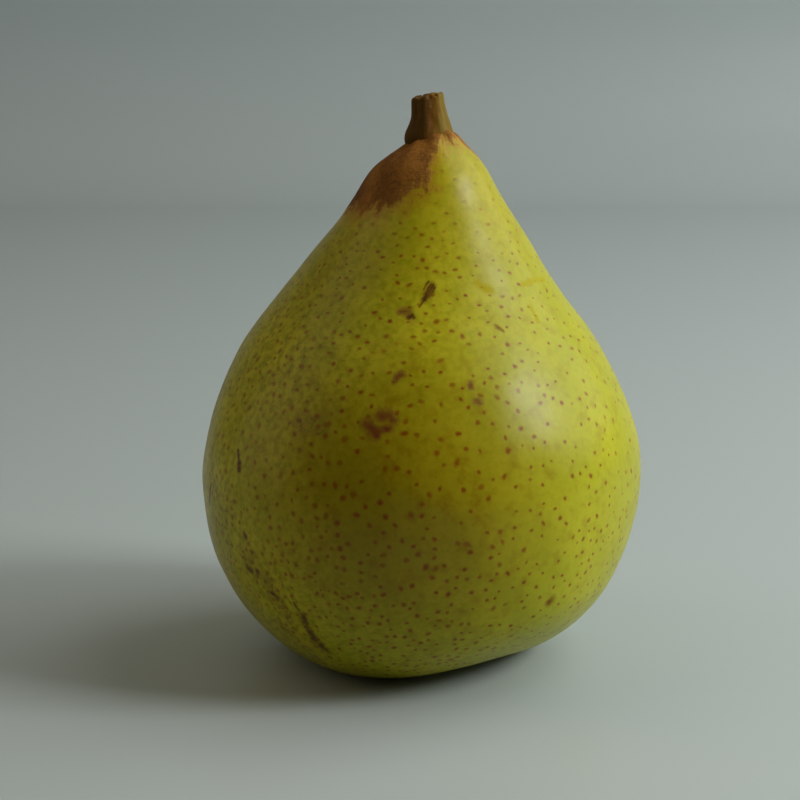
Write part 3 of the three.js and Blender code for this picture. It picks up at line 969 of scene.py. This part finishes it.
def sepal(seed):
    """A ball's grid, flattened, tapered by smooth(along), folded by |across|^1.5 and bent on a circular arc:
    out and up are the arc's sine and cosine at a slope that turns evenly from root to tip."""
    polar = np.linspace(0, np.pi, SEPAL_GRID[0])[:, None]
    angle = np.linspace(0, 2 * np.pi, SEPAL_GRID[1], endpoint=False)[None, :]
    along = (1 - np.cos(polar)) / 2 + 0 * angle
    across = -np.cos(angle) * np.sin(polar) * SEPAL["width"] / 2
    across = across * (1 - SEPAL_TAPER["share"] * smooth(along, SEPAL_TAPER["from"], 1))
    fold = SEPAL_FOLD * (np.abs(across) / (SEPAL["width"] / 2)) ** 1.5 * np.sin(np.pi * along)
    off = np.sin(angle) * np.sin(polar) * SEPAL["thickness"] / 2 - fold
    crumple = waves(np.stack([across, SEPAL["length"] * along, 0 * along], -1), SEPAL_CRUMPLE["length"], seed)
    off = off + SEPAL_CRUMPLE["rise"] * crumple * np.sin(np.pi * along)
    bend = SEPAL_SLOPE["tip"] - SEPAL_SLOPE["root"]
    arc = SEPAL["length"] / bend
    slope = SEPAL_SLOPE["root"] + bend * along
    out = SEPAL_ROOT["radius"] + arc * (np.sin(slope) - np.sin(SEPAL_SLOPE["root"])) - off * np.sin(slope)
    up = SEPAL_ROOT["height"] - arc * (np.cos(slope) - np.cos(SEPAL_SLOPE["root"])) + off * np.cos(slope)
    return np.stack([out, across, up], axis=-1)


def stamen(dice):
    """A thin bent thread with a swollen tip: the radius is even along it and doubles near the end."""
    run = np.linspace(0, 1, STAMEN_GRID[0])[:, None]
    angle = np.linspace(0, 2 * np.pi, STAMEN_GRID[1], endpoint=False)[None, :]
    close = np.sqrt(np.clip(1 - (2 * run - 1) ** 12, 0, 1))
    thick = STAMENS["radius"] * close * (1 + TIP["swell"] * bell(run - TIP["place"], TIP["width"]))
    length = STAMENS["length"] * dice.uniform(0.7, 1.0)
    lean = STAMENS["lean"] * dice.uniform(-0.4, 1.0)
    x = STAMENS["ring"] + length * np.sin(lean) * run**1.6 * 0.6
    z = CUP_OUTLINE[0][1] + STAMENS["root"] - length * run
    return np.stack([x + thick * np.cos(angle), -thick * np.sin(angle) + 0 * x, z + 0 * angle], axis=-1)


calyx_dice = np.random.default_rng(STAMEN_SEED)
calyx_shells = [cup()]
for i in range(SEPAL["count"]):
    azimuth = SEPAL["azimuth"] + i / SEPAL["count"] * 2 * np.pi
    calyx_shells.append(spun(sepal(SEPAL_CRUMPLE["seed"] + i), azimuth))
for i in range(STAMENS["count"]):
    calyx_shells.append(spun(stamen(calyx_dice), i / STAMENS["count"] * 2 * np.pi))
calyx_shells = [grid - MIDDLE for grid in calyx_shells]

# %% Husk: dead, dry leaf, grey-brown on the ridges and almost black in the folds, a painted shade that follows the bump
husk = new_material("withered_calyx")
husk_mm = place_in_mm(husk)
husk_noise = node(
    husk, "TexNoise", {"Vector": husk_mm, "Scale": 1 / 0.9, "Detail": 4.0, "Roughness": 0.65}
)
# painted shade: the noise that sinks the bump also darkens the tone, so the folds are painted dark
husk_tone = node(husk, "ValToRGB", {"Fac": husk_noise}, [(0.34, "#241A0F"), (0.7, "#6E5636")])
husk_bump = node(husk, "Bump", {"Height": husk_noise, "Distance": 0.15 * MM, "Strength": 1.0})
husk_shader = node(
    husk, "BsdfPrincipled", {"Base Color": husk_tone, "Roughness": 0.85, "IOR": 1.45, "Normal": husk_bump}
)
node(husk, "OutputMaterial", {"Surface": husk_shader})
make_piece("calyx_husk", calyx_shells, husk, "calyx")

# %% [markdown]
# ## The stage
#
# A pale table turns up into a pale wall. The light is a wide soft window on the right with a brighter middle,
# and a weak glow from the room behind, while the side that faces the viewer is dark. A small lamp would give
# a hard shadow and a sharp highlight. A window almost a metre high gives the soft ones that fruit on a
# table has.

# %% Table and wall
TABLE_FRONT, TABLE_BACK = -1.6, 0.56
SWEEP = 0.08  # radius of the curve from the table to the wall
WALL_TOP = 1.2
HALF_WIDTH = 1.6
UNDER = 0.00002  # the table lies this far below the pear, so that the two don't share a plane
sweep_angle = np.linspace(0, np.pi / 2, 16)
stage_profile = np.concatenate(
    [
        [[TABLE_FRONT, 0.0]],
        np.stack([TABLE_BACK + SWEEP * np.sin(sweep_angle), SWEEP * (1 - np.cos(sweep_angle))], axis=1),
        [[TABLE_BACK + SWEEP, WALL_TOP]],
    ]
)
stage_points = [(x, y, z - UNDER) for y, z in stage_profile for x in (-HALF_WIDTH, HALF_WIDTH)]
stage_faces = [(2 * i, 2 * i + 1, 2 * i + 3, 2 * i + 2) for i in range(len(stage_profile) - 1)]
stage_mesh = bpy.data.meshes.new("pale_table")
stage_mesh.from_pydata(stage_points, [], stage_faces)
stage_mesh.shade_smooth()
stone = new_material("honed_pale_stone")
stone_shader = node(
    stone,
    "BsdfPrincipled",
    {"Base Color": linear("#A8B3B3"), "Roughness": 0.4, "Specular IOR Level": 0.3},
)
node(stone, "OutputMaterial", {"Surface": stone_shader})
stage_mesh.materials.append(stone)
table = bpy.data.objects.new("pale_table", stage_mesh)
bpy.context.scene.collection.objects.link(table)


# %% Window light
def soft_light(name, place, aim, width, height, power, colour):
    """A rectangular light at a place, facing its aim."""
    lamp = bpy.data.lights.new(name, "AREA")
    lamp.shape = "RECTANGLE"
    lamp.size = width
    lamp.size_y = height
    lamp.energy = power
    lamp.color = colour
    made = bpy.data.objects.new(name, lamp)
    made.location = place
    made.rotation_euler = (Vector(aim) - Vector(place)).to_track_quat("-Z", "Y").to_euler()
    bpy.context.scene.collection.objects.link(made)


PEAR_HEART = (0, 0, 0.045)
DAYLIGHT = (1.0, 1.0, 0.98)
soft_light("window_glow", (0.61, 0.15, 0.54), PEAR_HEART, 0.7, 0.95, 5.25, DAYLIGHT)
soft_light("window_middle", (0.65, -0.17, 0.455), PEAR_HEART, 0.24, 0.24, 3.9, DAYLIGHT)

# %% Room glow: bright behind and on the left, dark and warm in front
ROOM_TONES = [(0.0, "#1E160C"), (0.38, "#3A3126"), (0.6, "#A0947F"), (1.0, "#B4A894")]
BRIGHT_SIDE = (-0.6, 0.65, 0.45)
room = bpy.data.worlds.new("room")
room.use_nodes = True
room.node_tree.nodes.clear()
heading = node(room, "TexCoord").outputs["Generated"]
toward = node(room, "VectorMath", {0: heading, 1: BRIGHT_SIDE}, operation="DOT_PRODUCT")
glow = node(room, "ValToRGB", {"Fac": toward.outputs["Value"]}, ROOM_TONES)
background = node(room, "Background", {"Color": glow, "Strength": 2.1})
node(room, "OutputWorld", {"Surface": background})
bpy.context.scene.world = room
bpy.context.scene.view_settings.view_transform = "Standard"

# %% Camera: level with the pear's shoulder, looking slightly down
ELEVATION = np.radians(13)
DISTANCE = 0.4
AIM = Vector((-0.0038, 0, 0.046))
camera = bpy.data.cameras.new("camera")
camera.sensor_width = 36
camera.lens = 101.1
view = bpy.data.objects.new("camera", camera)
view.location = AIM + DISTANCE * Vector((0, -np.cos(ELEVATION), np.sin(ELEVATION)))
view.rotation_euler = (AIM - view.location).to_track_quat("-Z", "Y").to_euler()
bpy.context.scene.collection.objects.link(view)
bpy.context.scene.camera = view
